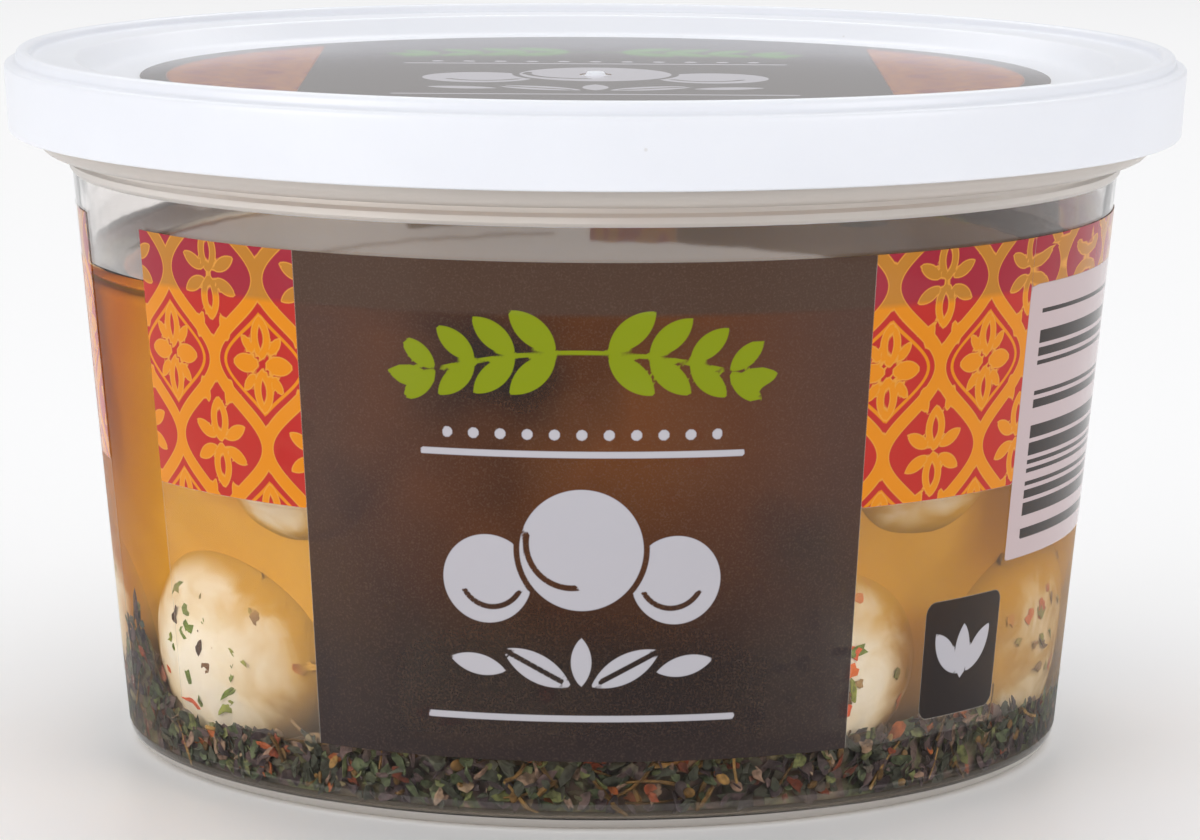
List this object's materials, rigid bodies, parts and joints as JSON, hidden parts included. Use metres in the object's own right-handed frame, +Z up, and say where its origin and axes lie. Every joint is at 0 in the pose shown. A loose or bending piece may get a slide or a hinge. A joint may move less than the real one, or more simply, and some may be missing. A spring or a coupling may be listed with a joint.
{
  "type": "tub of marinated mozzarella balls",
  "caption": "Shut clear snap-lid tub of small mozzarella balls in cloudy herb oil, with a white lid and a plain-patterned wrap label.",
  "frame": {"origin": "middle of the tub's foot ring, on the surface the tub stands on", "axes": "+Z up along the tub's axis, -Y towards the front of the label, +X to the right as seen from the front"},
  "size_m": [0.117, 0.117, 0.0688],
  "materials": {
    "clear_tub": "clear injection-moulded polypropylene, smooth and glossy, slightly hazy",
    "white_lid": "opaque white moulded polyethylene with a satin surface",
    "printed_label": "clear film with a charcoal-brown front panel and crimson and yellow ornament panels, glossy",
    "mozzarella": "moist cream-white cheese, smooth, with soaked herb and pepper flecks",
    "soaked_herbs": "dark soaked herb leaves with red pepper flakes"
  },
  "bodies": {
    "root": {"tub": "clear_tub", "lid": "white_lid", "label": "printed_label", "cheese_balls": "mozzarella", "herb_bed": "soaked_herbs"}
  },
  "joints": []
}
